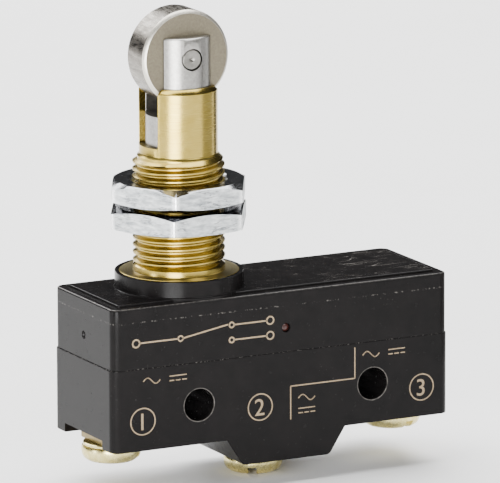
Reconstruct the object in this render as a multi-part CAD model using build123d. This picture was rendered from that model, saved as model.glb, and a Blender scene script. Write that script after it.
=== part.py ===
from build123d import *
import math
import os

# A panel-mount roller-plunger limit switch with screw terminals.
# All sizes are in millimetres.  The origin is on the bushing's axis, at the top of the collar that
# rests against a panel.  +X runs along the case, +Y to its back and +Z up towards the roller.

# --- Case -------------------------------------------------------------------------------------
CASE_LENGTH = 49.2
CASE_WIDTH = 17.45
AXIS_FROM_END = 14.0
CASE_LEFT = -AXIS_FROM_END
CASE_RIGHT = CASE_LENGTH - AXIS_FROM_END
HALF_WIDTH = CASE_WIDTH / 2
CORNER_RADIUS = 1.2
WALL_END = 2.4
WALL_SIDE = 2.3

COLLAR_HEIGHT = 2.16
PLATE_TOP = -COLLAR_HEIGHT
PLATE_STEP = 0.3
PLATE_INSET = 1.35
RIM_CHAMFER = 0.27
ROOF_BOTTOM = PLATE_TOP - 2.4
PARTING = -10.54
CASE_BOTTOM = -21.43
FLOOR_TOP = -18.9
POCKET_TOP = -13.9
BLOCK_LEFT = -5.3
BLOCK_RIGHT = 27.5

COVER_END_INSET = 0.15
COVER_SIDE_INSET = 0.03
MOULD_LINE_Z = -4.38
MOULD_LINE_HEIGHT = 0.18
MOULD_LINE_DEPTH = 0.1
DIMPLE_Z = -7.33
END_DIMPLE_RADIUS = 0.5
FRONT_DIMPLE_RADIUS = 0.6
DIMPLE_DEPTH = 0.5

LIP_HEIGHT = 1.0
LIP_THICKNESS = 0.8
LIP_GAP = 0.05

# --- Boss under the middle of the case ----------------------------------------------------------
HOLE_PITCH = 25.4
HOLE_RADIUS = 2.1
HOLE_LEFT_X = -1.57
HOLE_Z = -16.19
HOLE_POST_RADIUS = 3.6
HOLE_POSITIONS = (HOLE_LEFT_X, HOLE_LEFT_X + HOLE_PITCH)
BOSS_CENTRE = HOLE_LEFT_X + HOLE_PITCH / 2
BOSS_BOTTOM = -24.99
BOSS_HALF_TOP = 8.65
BOSS_HALF_BOTTOM = 6.35
BOSS_EDGE_RADIUS = 0.4
NOTCH_HALF_WIDTH = 5.5
NOTCH_HEIGHT = 0.6

# --- Threaded bushing and nuts ------------------------------------------------------------------
COLLAR_RADIUS = 8.4
FLANGE_RADIUS = 7.8
COLLAR_GAP = 0.02
THREAD_RADIUS = 6.0
THREAD_ROOT_RADIUS = 5.39
THREAD_PITCH = 1.0
THREAD_BOTTOM = 1.0
THREAD_TOP = 15.47
THREAD_CREST = 0.16
THREAD_ROOT = 0.2
SLEEVE_RADIUS = 5.13
SLEEVE_TOP = 24.47
SLEEVE_CHAMFER_HEIGHT = 0.6
SLEEVE_CHAMFER_DEPTH = 0.5
SLOT_HALF_WIDTH = 2.7
SLOT_BOTTOM = 16.67
BORE_RADIUS = 4.35
COUNTERBORE_RADIUS = 4.8

NUT_ACROSS_FLATS = 17.0
NUT_THICKNESS = 2.8
NUT_BORE_RADIUS = 6.05
NUT_CHAMFER_RADIUS = 8.3
NUT_CHAMFER_HEIGHT = 0.55
LOWER_NUT_Z = 5.93
UPPER_NUT_Z = 9.3
LOWER_NUT_TURN = -120.3
UPPER_NUT_TURN = -118.8

# --- Roller plunger -----------------------------------------------------------------------------
PLUNGER_RADIUS = 4.3
PLUNGER_TOP = 31.1
PLUNGER_EDGE = 0.2
PLUNGER_FLANGE_RADIUS = 4.7
PLUNGER_FLANGE_THICKNESS = 1.0
PLUNGER_STOP_Z = 6.2
PLUNGER_BOTTOM = PLUNGER_STOP_Z - PLUNGER_FLANGE_THICKNESS
FORK_FLOOR = 20.7
FORK_HALF_GAP = 2.65
SPRING_BORE_RADIUS = 2.9
SPRING_BORE_TOP = 18.7
RETAINER_RADIUS = 3.3
RETAINER_HOLE_RADIUS = 1.65

ROLLER_RADIUS = 6.25
ROLLER_WIDTH = 5.0
ROLLER_BEVEL = 0.4
ROLLER_Z = 28.28
PIN_RADIUS = 1.35
PIN_HALF_LENGTH = 4.12
PIN_RUNNING_GAP = 0.02
PIN_SEAT_GAP = 0.05
PIN_DIMPLE_RADIUS = 0.35
PIN_DIMPLE_DEPTH = 0.3

# --- Push rod, spring and pushbutton ------------------------------------------------------------
BUTTON_TOP = PLATE_TOP + 0.71
BUTTON_RADIUS = 2.2
BUTTON_HOLE_RADIUS = 2.25
BUTTON_FLANGE_RADIUS = 3.2
BUTTON_FLANGE_TOP = ROOF_BOTTOM - 0.1
BUTTON_FLANGE_BOTTOM = BUTTON_FLANGE_TOP - 0.94
BUTTON_SHOULDER_RADIUS = 2.0
BUTTON_TIP_RADIUS = 0.8
BUTTON_TIP_Z = -9.77
ROD_RADIUS = 1.5
ROD_HEAD_RADIUS = 2.7
ROD_HEAD_BOTTOM = 6.35
ROD_HEAD_TOP = 7.5
WIRE_RADIUS = 0.3
SPRING_RADIUS = 2.2
SPRING_PITCH = 1.5

# --- Snap mechanism -----------------------------------------------------------------------------
ANCHOR_RIVET_X = -9.5
BLADE_TOP = -9.85
BLADE_THICKNESS = 0.2
BLADE_BOTTOM = BLADE_TOP - BLADE_THICKNESS
BLADE_LEFT = -11.3
BLADE_BEAD_RADIUS = 0.25
BLADE_RIGHT = 21.0
BLADE_HEAD_LEFT = 15.0
BLADE_STRIP_HALF = 1.5
BLADE_HALF_WIDTH = 3.6
BLADE_LEG_INNER = 2.3
BLADE_TIP_HALF = 2.4
LEG_END_X = 4.4
LEG_END_Z = -11.3
LEG_BOW_X = 10.0
LEG_BOW_Z = -9.0

CONTACT_X = 19.0
CONTACT_GAP = 0.55
MOVING_CONTACT_TOP = -9.25
MOVING_CONTACT_BOTTOM = -10.75
MOVING_CONTACT_RADIUS = 1.6
FIXED_CONTACT_RADIUS = 1.7
CONTACT_TOUCH = 0.01

ANCHOR_BASE_BOTTOM = -12.9
ANCHOR_SHEET = 0.5
ANCHOR_ARM_END = 4.0
ANCHOR_POST_TOP = -10.12
ANCHOR_POST_RIGHT = -8.2
ANCHOR_HORN_LEFT = 3.3
ANCHOR_HORN_TOP = -10.9
RIVET_RADIUS = 0.8
RIVET_HEAD_RADIUS = 1.3
RIVET_HEAD_BOTTOM = -9.78
RIVET_HEAD_TOP = -9.2
BLADE_RIVET_HOLE = 0.95

# --- Terminals and terminal screws --------------------------------------------------------------
TERMINAL_SHEET = 0.8
TERMINAL_HALF_WIDTH = 3.6
RISER_HALF_WIDTH = 3.0
RISER_GAP = 0.05
SCREW_X = {"common": -10.0, "normally_open": 10.7, "normally_closed": 31.2}
HEAD_BOTTOM = {"common": -24.36, "normally_open": -28.11, "normally_closed": -24.36}
SLOT_TURN = {"common": 24.0, "normally_open": -62.0, "normally_closed": 58.0}
SCREW_HEAD_RADIUS = 3.88
SCREW_HEAD_HEIGHT = 2.1
SCREW_HEAD_EDGE = 0.85
SCREW_SLOT_WIDTH = 1.1
SCREW_SLOT_DEPTH = 1.1
SCREW_RADIUS = 1.9
SCREW_LENGTH = 5.5
SCREW_HOLE_RADIUS = 1.97
SCREW_WELL_RADIUS = 2.2
SCREW_WELL_SPARE = 0.6
WASHER_RADIUS = 3.7
WASHER_HOLE_RADIUS = 2.1
WASHER_THICKNESS = 0.5
SCREW_TOP_STACK = SCREW_HEAD_HEIGHT + WASHER_THICKNESS

COMMON_RISER_X = -6.1
COMMON_PAD_LEFT = -12.6
COMMON_LEDGE_LEFT = -11.0
COMMON_LEDGE_TOP = ANCHOR_BASE_BOTTOM
OPEN_PAD_LEFT = 6.4
OPEN_RISER_X = 15.6
OPEN_CONTACT_TOP = MOVING_CONTACT_BOTTOM - CONTACT_GAP
OPEN_LEDGE_TOP = OPEN_CONTACT_TOP - 0.7
OPEN_LEDGE_RIGHT = 21.0
CLOSED_RISER_X = 27.6
CLOSED_PAD_RIGHT = 33.8
CLOSED_CONTACT_BOTTOM = MOVING_CONTACT_TOP + CONTACT_TOUCH
CLOSED_ARM_BOTTOM = -8.0
CLOSED_ARM_LEFT = 17.0


def block(x, y, z):
    """A box between two limits on each axis."""
    size = (x[1] - x[0], y[1] - y[0], z[1] - z[0])
    centre = ((x[0] + x[1]) / 2, (y[0] + y[1]) / 2, (z[0] + z[1]) / 2)
    return Pos(*centre) * Box(*size)


def centred_block(x, half_width, z):
    """A box that is as deep to the front as to the back."""
    return block(x, (-half_width, half_width), z)


def disc(radius, z, x=0.0):
    """An upright cylinder between two heights."""
    return Pos(x, 0, (z[0] + z[1]) / 2) * Cylinder(radius, z[1] - z[0])


def ring(outer, inner, z, x=0.0):
    """An upright washer between two heights."""
    return disc(outer, z, x) - disc(inner, z, x)


def cross_cylinder(radius, half_length, x, z):
    """A cylinder along Y, centred on the case."""
    return Pos(x, 0, z) * Rot(X=90) * Cylinder(radius, 2 * half_length)


def side_profile(points, half_width):
    """A closed outline of (x, z) points, extruded evenly to the front and back."""
    outline = Polyline(*[(x, 0, z) for x, z in points], close=True)
    return extrude(make_face(outline), half_width, dir=(0, 1, 0), both=True)


def revolved(points):
    """A closed outline of (radius, z) points, turned about the Z axis."""
    outline = Polyline(*[(r, 0, z) for r, z in points], close=True)
    return revolve(make_face(outline), axis=Axis.Z)


def upright_corners(body, x_limits):
    """The edges of a body that run along Z at the given ends."""
    edges = body.edges().filter_by(Axis.Z)
    return [e for e in edges if any(abs(e.center().X - x) < 0.01 for x in x_limits)]


def cavity(z):
    """The space inside the case walls between two heights."""
    return centred_block((CASE_LEFT + WALL_END, CASE_RIGHT - WALL_END), HALF_WIDTH - WALL_SIDE, z)


def lip(z, grow=0.0):
    """The tongue that locates the cover on the lower case, solid right through."""
    reach = LIP_THICKNESS + grow
    x = (CASE_LEFT + WALL_END - reach, CASE_RIGHT - WALL_END + reach)
    return centred_block(x, HALF_WIDTH - WALL_SIDE + reach, z)


def pad_top(name):
    """The height of the upper side of a terminal's pad."""
    return HEAD_BOTTOM[name] + SCREW_TOP_STACK + TERMINAL_SHEET


def lower_case():
    """The moulded lower half: walls, boss, posts round the mounting holes, terminal and wire slots."""
    outline = [
        (CASE_LEFT, PARTING),
        (CASE_LEFT, CASE_BOTTOM),
        (BOSS_CENTRE - BOSS_HALF_TOP, CASE_BOTTOM),
        (BOSS_CENTRE - BOSS_HALF_BOTTOM, BOSS_BOTTOM),
        (BOSS_CENTRE + BOSS_HALF_BOTTOM, BOSS_BOTTOM),
        (BOSS_CENTRE + BOSS_HALF_TOP, CASE_BOTTOM),
        (CASE_RIGHT, CASE_BOTTOM),
        (CASE_RIGHT, PARTING),
    ]
    body = side_profile(outline, HALF_WIDTH)
    boss_edges = [e for e in body.edges().filter_by(Axis.Y) if abs(e.center().Z - BOSS_BOTTOM) < 0.01]
    body = fillet(boss_edges, BOSS_EDGE_RADIUS)
    body = fillet(upright_corners(body, (CASE_LEFT, CASE_RIGHT)), CORNER_RADIUS)
    body += lip((PARTING, PARTING + LIP_HEIGHT))
    body -= cavity((POCKET_TOP, PARTING + LIP_HEIGHT))
    body -= centred_block((BLOCK_LEFT, BLOCK_RIGHT), HALF_WIDTH - WALL_SIDE, (FLOOR_TOP, POCKET_TOP))
    for x in HOLE_POSITIONS:
        body += cross_cylinder(HOLE_POST_RADIUS, HALF_WIDTH - WALL_SIDE / 2, x, HOLE_Z)
    for x in HOLE_POSITIONS:
        body -= cross_cylinder(HOLE_RADIUS, CASE_WIDTH, x, HOLE_Z)
    recesses = {
        "common": (CASE_LEFT - 1.0, COMMON_RISER_X + TERMINAL_SHEET + RISER_GAP),
        "normally_open": (OPEN_PAD_LEFT - RISER_GAP, OPEN_RISER_X + TERMINAL_SHEET + RISER_GAP),
        "normally_closed": (CLOSED_RISER_X - RISER_GAP, CASE_RIGHT + 1.0),
    }
    risers = {
        "common": COMMON_RISER_X,
        "normally_open": OPEN_RISER_X,
        "normally_closed": CLOSED_RISER_X,
    }
    notch_z = (CASE_BOTTOM - 1.0, CASE_BOTTOM + NOTCH_HEIGHT)
    body -= centred_block((CASE_LEFT - 1.0, CASE_LEFT + WALL_END), NOTCH_HALF_WIDTH, notch_z)
    body -= centred_block((CASE_RIGHT - WALL_END, CASE_RIGHT + 1.0), NOTCH_HALF_WIDTH, notch_z)
    for name, screw_x in SCREW_X.items():
        recess_half = TERMINAL_HALF_WIDTH + RISER_GAP
        body -= centred_block(recesses[name], recess_half, (BOSS_BOTTOM - 1.0, pad_top(name)))
        riser_x = (risers[name] - RISER_GAP, risers[name] + TERMINAL_SHEET + RISER_GAP)
        body -= centred_block(riser_x, RISER_HALF_WIDTH + RISER_GAP, (pad_top(name), POCKET_TOP))
        screw_tip = HEAD_BOTTOM[name] + SCREW_HEAD_HEIGHT + SCREW_LENGTH
        body -= disc(SCREW_WELL_RADIUS, (pad_top(name), screw_tip + SCREW_WELL_SPARE), screw_x)
    return body


def upper_cover():
    """The moulded cover: walls, raised top plate, collar round the bushing and the button's hole."""
    x = (CASE_LEFT + COVER_END_INSET, CASE_RIGHT - COVER_END_INSET)
    half_width = HALF_WIDTH - COVER_SIDE_INSET
    rim_top = PLATE_TOP - PLATE_STEP
    body = centred_block(x, half_width, (PARTING, rim_top))
    body = fillet(upright_corners(body, x), CORNER_RADIUS)
    body = chamfer(body.faces().sort_by(Axis.Z)[-1].edges(), RIM_CHAMFER)
    plate_x = (x[0] + PLATE_INSET, x[1] - PLATE_INSET)
    plate = centred_block(plate_x, half_width - PLATE_INSET, (rim_top, PLATE_TOP))
    plate = chamfer(plate.faces().sort_by(Axis.Z)[-1].edges(), PLATE_STEP / 2)
    body += plate
    groove_z = (MOULD_LINE_Z - MOULD_LINE_HEIGHT / 2, MOULD_LINE_Z + MOULD_LINE_HEIGHT / 2)
    core_x = (x[0] + MOULD_LINE_DEPTH, x[1] - MOULD_LINE_DEPTH)
    core = centred_block(core_x, half_width - MOULD_LINE_DEPTH, groove_z)
    core = fillet(upright_corners(core, core_x), CORNER_RADIUS)
    body -= centred_block((x[0] - 1.0, x[1] + 1.0), CASE_WIDTH, groove_z) - core
    body += ring(COLLAR_RADIUS, FLANGE_RADIUS + COLLAR_GAP, (PLATE_TOP, 0))
    body -= cavity((PARTING, ROOF_BOTTOM))
    body -= lip((PARTING, PARTING + LIP_HEIGHT + LIP_GAP), LIP_GAP)
    body -= disc(BUTTON_HOLE_RADIUS, (ROOF_BOTTOM, PLATE_TOP))
    for end_x in x:
        body -= Pos(end_x, 0, DIMPLE_Z) * Rot(Y=90) * Cylinder(END_DIMPLE_RADIUS, 2 * DIMPLE_DEPTH)
    front = Pos(BOSS_CENTRE, -half_width, DIMPLE_Z) * Rot(X=90)
    body -= front * Cylinder(FRONT_DIMPLE_RADIUS, 2 * DIMPLE_DEPTH)
    return body


def threaded_bushing():
    """The brass bushing: flange, threaded length, plain sleeve with two roller slots, stepped bore."""
    flank = (THREAD_PITCH - THREAD_CREST - THREAD_ROOT) / 2
    points = [
        (COUNTERBORE_RADIUS, PLATE_TOP),
        (FLANGE_RADIUS, PLATE_TOP),
        (FLANGE_RADIUS, 0.0),
        (THREAD_RADIUS, 0.0),
    ]
    z = THREAD_BOTTOM
    while z + THREAD_PITCH < THREAD_TOP:
        points += [
            (THREAD_RADIUS, z),
            (THREAD_ROOT_RADIUS, z + flank),
            (THREAD_ROOT_RADIUS, z + flank + THREAD_ROOT),
            (THREAD_RADIUS, z + 2 * flank + THREAD_ROOT),
        ]
        z += THREAD_PITCH
    points += [
        (THREAD_RADIUS, z),
        (SLEEVE_RADIUS, THREAD_TOP),
        (SLEEVE_RADIUS, SLEEVE_TOP - SLEEVE_CHAMFER_HEIGHT),
        (SLEEVE_RADIUS - SLEEVE_CHAMFER_DEPTH, SLEEVE_TOP),
        (BORE_RADIUS, SLEEVE_TOP),
        (BORE_RADIUS, PLUNGER_STOP_Z),
        (COUNTERBORE_RADIUS, PLUNGER_STOP_Z),
    ]
    body = revolved(points)
    slot_x = (-2 * SLEEVE_RADIUS, 2 * SLEEVE_RADIUS)
    body -= centred_block(slot_x, SLOT_HALF_WIDTH, (SLOT_BOTTOM, SLEEVE_TOP + 1.0))
    return body


def hex_nut(bottom, turn):
    """A thin hexagon nut, chamfered on both faces; turn is the bearing of one corner."""
    corner = NUT_ACROSS_FLATS / math.sqrt(3)
    prism = extrude(RegularPolygon(corner, 6), NUT_THICKNESS)
    blank = revolved(
        [
            (NUT_BORE_RADIUS, 0.0),
            (NUT_CHAMFER_RADIUS, 0.0),
            (corner, NUT_CHAMFER_HEIGHT),
            (corner, NUT_THICKNESS - NUT_CHAMFER_HEIGHT),
            (NUT_CHAMFER_RADIUS, NUT_THICKNESS),
            (NUT_BORE_RADIUS, NUT_THICKNESS),
        ]
    )
    return Pos(0, 0, bottom) * Rot(Z=turn) * (prism & blank)


def roller_plunger():
    """The steel plunger: fork for the roller, spring bore and a stop flange at its lower end."""
    body = disc(PLUNGER_RADIUS, (PLUNGER_BOTTOM, PLUNGER_TOP))
    body = chamfer(body.faces().sort_by(Axis.Z)[-1].edges(), PLUNGER_EDGE)
    body += disc(PLUNGER_FLANGE_RADIUS, (PLUNGER_BOTTOM, PLUNGER_STOP_Z))
    body -= disc(SPRING_BORE_RADIUS, (PLUNGER_BOTTOM, SPRING_BORE_TOP))
    body -= disc(RETAINER_RADIUS, (PLUNGER_BOTTOM, PLUNGER_STOP_Z))
    fork_x = (-2 * PLUNGER_RADIUS, 2 * PLUNGER_RADIUS)
    body -= centred_block(fork_x, FORK_HALF_GAP, (FORK_FLOOR, PLUNGER_TOP + 1.0))
    body -= cross_cylinder(PIN_RADIUS + PIN_SEAT_GAP, 2 * PLUNGER_RADIUS, 0, ROLLER_Z)
    return body


def roller():
    """The steel roller with bevelled rims and a running bore."""
    body = cross_cylinder(ROLLER_RADIUS, ROLLER_WIDTH / 2, 0, ROLLER_Z)
    body = chamfer(body.edges().filter_by(GeomType.CIRCLE), ROLLER_BEVEL)
    return body - cross_cylinder(PIN_RADIUS + PIN_RUNNING_GAP, ROLLER_WIDTH, 0, ROLLER_Z)


def roller_pin():
    """The roller's axle, centre-dimpled at both ends."""
    body = cross_cylinder(PIN_RADIUS, PIN_HALF_LENGTH, 0, ROLLER_Z)
    for side in (-1, 1):
        tip = Pos(0, side * (PIN_HALF_LENGTH - PIN_DIMPLE_DEPTH / 2), ROLLER_Z) * Rot(X=-90 * side)
        body -= tip * Cone(0.02, PIN_DIMPLE_RADIUS, PIN_DIMPLE_DEPTH)
    return body


def overtravel_spring():
    """The coil spring between the push rod's head and the roof of the plunger's bore."""
    low = ROD_HEAD_TOP + WIRE_RADIUS
    height = SPRING_BORE_TOP - WIRE_RADIUS - low
    path = Pos(0, 0, low) * Helix(SPRING_PITCH, height, SPRING_RADIUS)
    section = Plane(origin=path @ 0, z_dir=path % 0) * Circle(WIRE_RADIUS)
    return sweep(section, path, is_frenet=True)


def push_rod():
    """The rod that carries the plunger's push down to the button, with the spring's seat as head."""
    shank = disc(ROD_RADIUS, (BUTTON_TOP, ROD_HEAD_BOTTOM))
    return shank + disc(ROD_HEAD_RADIUS, (ROD_HEAD_BOTTOM, ROD_HEAD_TOP))


def rod_retainer():
    """The ring pressed into the plunger's lower end, which keeps the rod's head inside."""
    return ring(RETAINER_RADIUS - COLLAR_GAP, RETAINER_HOLE_RADIUS, (PLUNGER_BOTTOM, PLUNGER_STOP_Z))


def pushbutton():
    """The switch's own button: a stem through the roof, a stop flange and a tapered nose."""
    return revolved(
        [
            (0.0, BUTTON_TIP_Z),
            (BUTTON_TIP_RADIUS, BUTTON_TIP_Z),
            (BUTTON_SHOULDER_RADIUS, BUTTON_FLANGE_BOTTOM),
            (BUTTON_FLANGE_RADIUS, BUTTON_FLANGE_BOTTOM),
            (BUTTON_FLANGE_RADIUS, BUTTON_FLANGE_TOP),
            (BUTTON_RADIUS, BUTTON_FLANGE_TOP),
            (BUTTON_RADIUS, BUTTON_TOP),
            (0.0, BUTTON_TOP),
        ]
    )


def offset_point(curve, t, distance):
    """A point beside a curve that lies in the XZ plane."""
    point = curve @ t
    tangent = curve % t
    return (point.X - tangent.Z * distance, 0, point.Z + tangent.X * distance)


def snap_spring():
    """The snap blade: a centre strip with a rolled end at the anchor, a head, and two bowed legs."""
    strip_z = (BLADE_BOTTOM, BLADE_TOP)
    body = centred_block((BLADE_LEFT, BLADE_RIGHT), BLADE_STRIP_HALF, strip_z)
    body += cross_cylinder(BLADE_BEAD_RADIUS, BLADE_STRIP_HALF, BLADE_LEFT, (BLADE_BOTTOM + BLADE_TOP) / 2)
    body += centred_block((BLADE_HEAD_LEFT, CONTACT_X), BLADE_HALF_WIDTH, strip_z)
    body += centred_block((CONTACT_X, BLADE_RIGHT), BLADE_TIP_HALF, strip_z)
    mid_z = (BLADE_BOTTOM + BLADE_TOP) / 2
    start = (BLADE_HEAD_LEFT + BLADE_THICKNESS, 0, mid_z)
    bow = ThreePointArc(start, (LEG_BOW_X, 0, LEG_BOW_Z), (LEG_END_X, 0, LEG_END_Z))
    half = BLADE_THICKNESS / 2
    offsets = [offset_point(bow, t, half) for t in (0.0, 0.5, 1.0)]
    under = [offset_point(bow, t, -half) for t in (0.0, 0.5, 1.0)]
    upper_edge = ThreePointArc(*offsets)
    lower_edge = ThreePointArc(*under)
    ends = [Line(offsets[0], under[0]), Line(offsets[2], under[2])]
    section = make_face([upper_edge, lower_edge, *ends])
    width = BLADE_HALF_WIDTH - BLADE_LEG_INNER
    for side in (-1, 1):
        leg = extrude(section, width / 2, dir=(0, 1, 0), both=True)
        body += Pos(0, side * (BLADE_LEG_INNER + width / 2), 0) * leg
    body -= disc(BLADE_RIVET_HOLE, (BLADE_BOTTOM, BLADE_TOP), ANCHOR_RIVET_X)
    body -= disc(MOVING_CONTACT_RADIUS / 2, (BLADE_BOTTOM, BLADE_TOP), CONTACT_X)
    return body


def moving_contact():
    """The double-sided silver contact riveted through the blade's head."""
    body = disc(MOVING_CONTACT_RADIUS, (BLADE_TOP, MOVING_CONTACT_TOP), CONTACT_X)
    body += disc(MOVING_CONTACT_RADIUS, (MOVING_CONTACT_BOTTOM, BLADE_BOTTOM), CONTACT_X)
    return body + disc(MOVING_CONTACT_RADIUS / 2, (BLADE_BOTTOM, BLADE_TOP), CONTACT_X)


def common_anchor():
    """The bracket that carries the blade: a post, two arms and the horns the bowed legs bear on."""
    base_z = (ANCHOR_BASE_BOTTOM, ANCHOR_BASE_BOTTOM + ANCHOR_SHEET)
    arm_z = (base_z[1], base_z[1] + ANCHOR_SHEET)
    ledge_right = COMMON_RISER_X + TERMINAL_SHEET
    body = centred_block((COMMON_LEDGE_LEFT, ledge_right), BLADE_HALF_WIDTH, base_z)
    post_z = (base_z[1], ANCHOR_POST_TOP)
    body += centred_block((COMMON_LEDGE_LEFT, ANCHOR_POST_RIGHT), BLADE_STRIP_HALF, post_z)
    for side in (-1, 1):
        y = sorted((side * BLADE_LEG_INNER, side * BLADE_HALF_WIDTH))
        body += block((COMMON_LEDGE_LEFT, ANCHOR_ARM_END), y, arm_z)
        body += block((ANCHOR_HORN_LEFT, ANCHOR_ARM_END), y, (arm_z[0], ANCHOR_HORN_TOP))
    return body - disc(RIVET_RADIUS, (ANCHOR_BASE_BOTTOM, ANCHOR_POST_TOP), ANCHOR_RIVET_X)


def anchor_rivet():
    """The rivet that holds the blade's fixed end on the anchor."""
    shank = disc(RIVET_RADIUS, (ANCHOR_BASE_BOTTOM, RIVET_HEAD_BOTTOM), ANCHOR_RIVET_X)
    return shank + disc(RIVET_HEAD_RADIUS, (RIVET_HEAD_BOTTOM, RIVET_HEAD_TOP), ANCHOR_RIVET_X)


def terminal(name, pad_x, riser_left, riser_top):
    """A terminal's tapped pad under the case and the strip that rises from it into the case."""
    top = pad_top(name)
    pad = centred_block(pad_x, TERMINAL_HALF_WIDTH, (top - TERMINAL_SHEET, top))
    pad -= disc(SCREW_HOLE_RADIUS, (top - TERMINAL_SHEET, top), SCREW_X[name])
    riser_x = (riser_left, riser_left + TERMINAL_SHEET)
    return pad + centred_block(riser_x, RISER_HALF_WIDTH, (top - TERMINAL_SHEET, riser_top))


def common_terminal():
    """The common terminal, whose inner ledge carries the anchor."""
    riser_right = COMMON_RISER_X + TERMINAL_SHEET
    body = terminal("common", (COMMON_PAD_LEFT, riser_right), COMMON_RISER_X, COMMON_LEDGE_TOP)
    ledge_z = (COMMON_LEDGE_TOP - TERMINAL_SHEET, COMMON_LEDGE_TOP)
    return body + centred_block((COMMON_LEDGE_LEFT, riser_right), RISER_HALF_WIDTH, ledge_z)


def normally_open_terminal():
    """The middle terminal, which ends under the blade's contact."""
    riser_right = OPEN_RISER_X + TERMINAL_SHEET
    body = terminal("normally_open", (OPEN_PAD_LEFT, riser_right), OPEN_RISER_X, OPEN_LEDGE_TOP)
    ledge_z = (OPEN_LEDGE_TOP - TERMINAL_SHEET, OPEN_LEDGE_TOP)
    return body + centred_block((OPEN_RISER_X, OPEN_LEDGE_RIGHT), RISER_HALF_WIDTH, ledge_z)


def normally_closed_terminal():
    """The right terminal, which reaches over the blade's contact."""
    arm_z = (CLOSED_ARM_BOTTOM, CLOSED_ARM_BOTTOM + TERMINAL_SHEET)
    body = terminal("normally_closed", (CLOSED_RISER_X, CLOSED_PAD_RIGHT), CLOSED_RISER_X, arm_z[1])
    return body + centred_block((CLOSED_ARM_LEFT, CLOSED_RISER_X + TERMINAL_SHEET), RISER_HALF_WIDTH, arm_z)


def fixed_contact(z):
    """A silver contact disc on a terminal's inner end."""
    return disc(FIXED_CONTACT_RADIUS, z, CONTACT_X)


def terminal_screw(name):
    """A slotted pan-head screw, standing head down."""
    bottom = HEAD_BOTTOM[name]
    top = bottom + SCREW_HEAD_HEIGHT
    head = disc(SCREW_HEAD_RADIUS, (bottom, top))
    head = fillet(head.faces().sort_by(Axis.Z)[0].edges(), SCREW_HEAD_EDGE)
    slot_x = (-2 * SCREW_HEAD_RADIUS, 2 * SCREW_HEAD_RADIUS)
    slot = centred_block(slot_x, SCREW_SLOT_WIDTH / 2, (bottom, bottom + SCREW_SLOT_DEPTH))
    head -= Rot(Z=SLOT_TURN[name]) * slot
    return Pos(SCREW_X[name], 0, 0) * (head + disc(SCREW_RADIUS, (top, top + SCREW_LENGTH)))


def terminal_washer(name):
    """The captive washer between a terminal screw's head and its pad."""
    low = HEAD_BOTTOM[name] + SCREW_HEAD_HEIGHT
    return ring(WASHER_RADIUS, WASHER_HOLE_RADIUS, (low, low + WASHER_THICKNESS), SCREW_X[name])


def model():
    """Every node's name and solid."""
    parts = {
        "lower_case": lower_case(),
        "upper_cover": upper_cover(),
        "threaded_bushing": threaded_bushing(),
        "lower_nut": hex_nut(LOWER_NUT_Z, LOWER_NUT_TURN),
        "upper_nut": hex_nut(UPPER_NUT_Z, UPPER_NUT_TURN),
        "roller_plunger": roller_plunger(),
        "roller": roller(),
        "roller_pin": roller_pin(),
        "rod_retainer": rod_retainer(),
        "overtravel_spring": overtravel_spring(),
        "push_rod": push_rod(),
        "pushbutton": pushbutton(),
        "snap_spring": snap_spring(),
        "moving_contact": moving_contact(),
        "common_anchor": common_anchor(),
        "anchor_rivet": anchor_rivet(),
        "common_terminal": common_terminal(),
        "normally_open_terminal": normally_open_terminal(),
        "normally_closed_terminal": normally_closed_terminal(),
        "normally_open_contact": fixed_contact((OPEN_LEDGE_TOP, OPEN_CONTACT_TOP)),
        "normally_closed_contact": fixed_contact((CLOSED_CONTACT_BOTTOM, CLOSED_ARM_BOTTOM)),
    }
    for name in SCREW_X:
        parts[f"{name}_screw"] = terminal_screw(name)
        parts[f"{name}_washer"] = terminal_washer(name)
    return parts


os.makedirs("parts", exist_ok=True)
for node, shape in model().items():
    export_step(shape, f"parts/{node}.step")
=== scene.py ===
import math

import bmesh
import bpy
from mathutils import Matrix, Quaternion, Vector


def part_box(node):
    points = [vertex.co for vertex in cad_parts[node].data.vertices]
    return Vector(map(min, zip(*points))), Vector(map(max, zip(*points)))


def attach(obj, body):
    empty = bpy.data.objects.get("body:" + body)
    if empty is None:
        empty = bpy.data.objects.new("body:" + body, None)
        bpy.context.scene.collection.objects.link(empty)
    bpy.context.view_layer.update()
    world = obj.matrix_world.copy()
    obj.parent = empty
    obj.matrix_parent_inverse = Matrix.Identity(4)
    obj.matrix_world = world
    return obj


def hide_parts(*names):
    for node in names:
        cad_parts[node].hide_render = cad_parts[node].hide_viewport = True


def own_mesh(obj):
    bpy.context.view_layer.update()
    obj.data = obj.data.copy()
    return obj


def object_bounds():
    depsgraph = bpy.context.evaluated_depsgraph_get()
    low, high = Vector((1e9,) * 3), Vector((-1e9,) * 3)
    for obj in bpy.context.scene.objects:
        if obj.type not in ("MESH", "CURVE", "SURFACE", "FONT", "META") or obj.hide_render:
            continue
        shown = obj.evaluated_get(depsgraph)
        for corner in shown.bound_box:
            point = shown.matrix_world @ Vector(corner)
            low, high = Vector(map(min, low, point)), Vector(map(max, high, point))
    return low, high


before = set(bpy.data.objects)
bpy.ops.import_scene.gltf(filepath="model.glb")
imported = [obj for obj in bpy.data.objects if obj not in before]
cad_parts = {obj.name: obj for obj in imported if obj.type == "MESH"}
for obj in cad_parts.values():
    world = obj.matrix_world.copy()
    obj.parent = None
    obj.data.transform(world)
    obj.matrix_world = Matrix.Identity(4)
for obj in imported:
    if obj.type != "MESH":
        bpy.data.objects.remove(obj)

cad_low, cad_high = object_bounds()

# All sizes below are in millimetres; MM turns them into Blender's metres.
# The origin is on the bushing's axis at the top of the collar, +X along the case, +Z up.
MM = 0.001


def corner(node):
    """The lowest and highest corner of a CAD node, in millimetres."""
    low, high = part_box(node)
    return low / MM, high / MM


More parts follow.
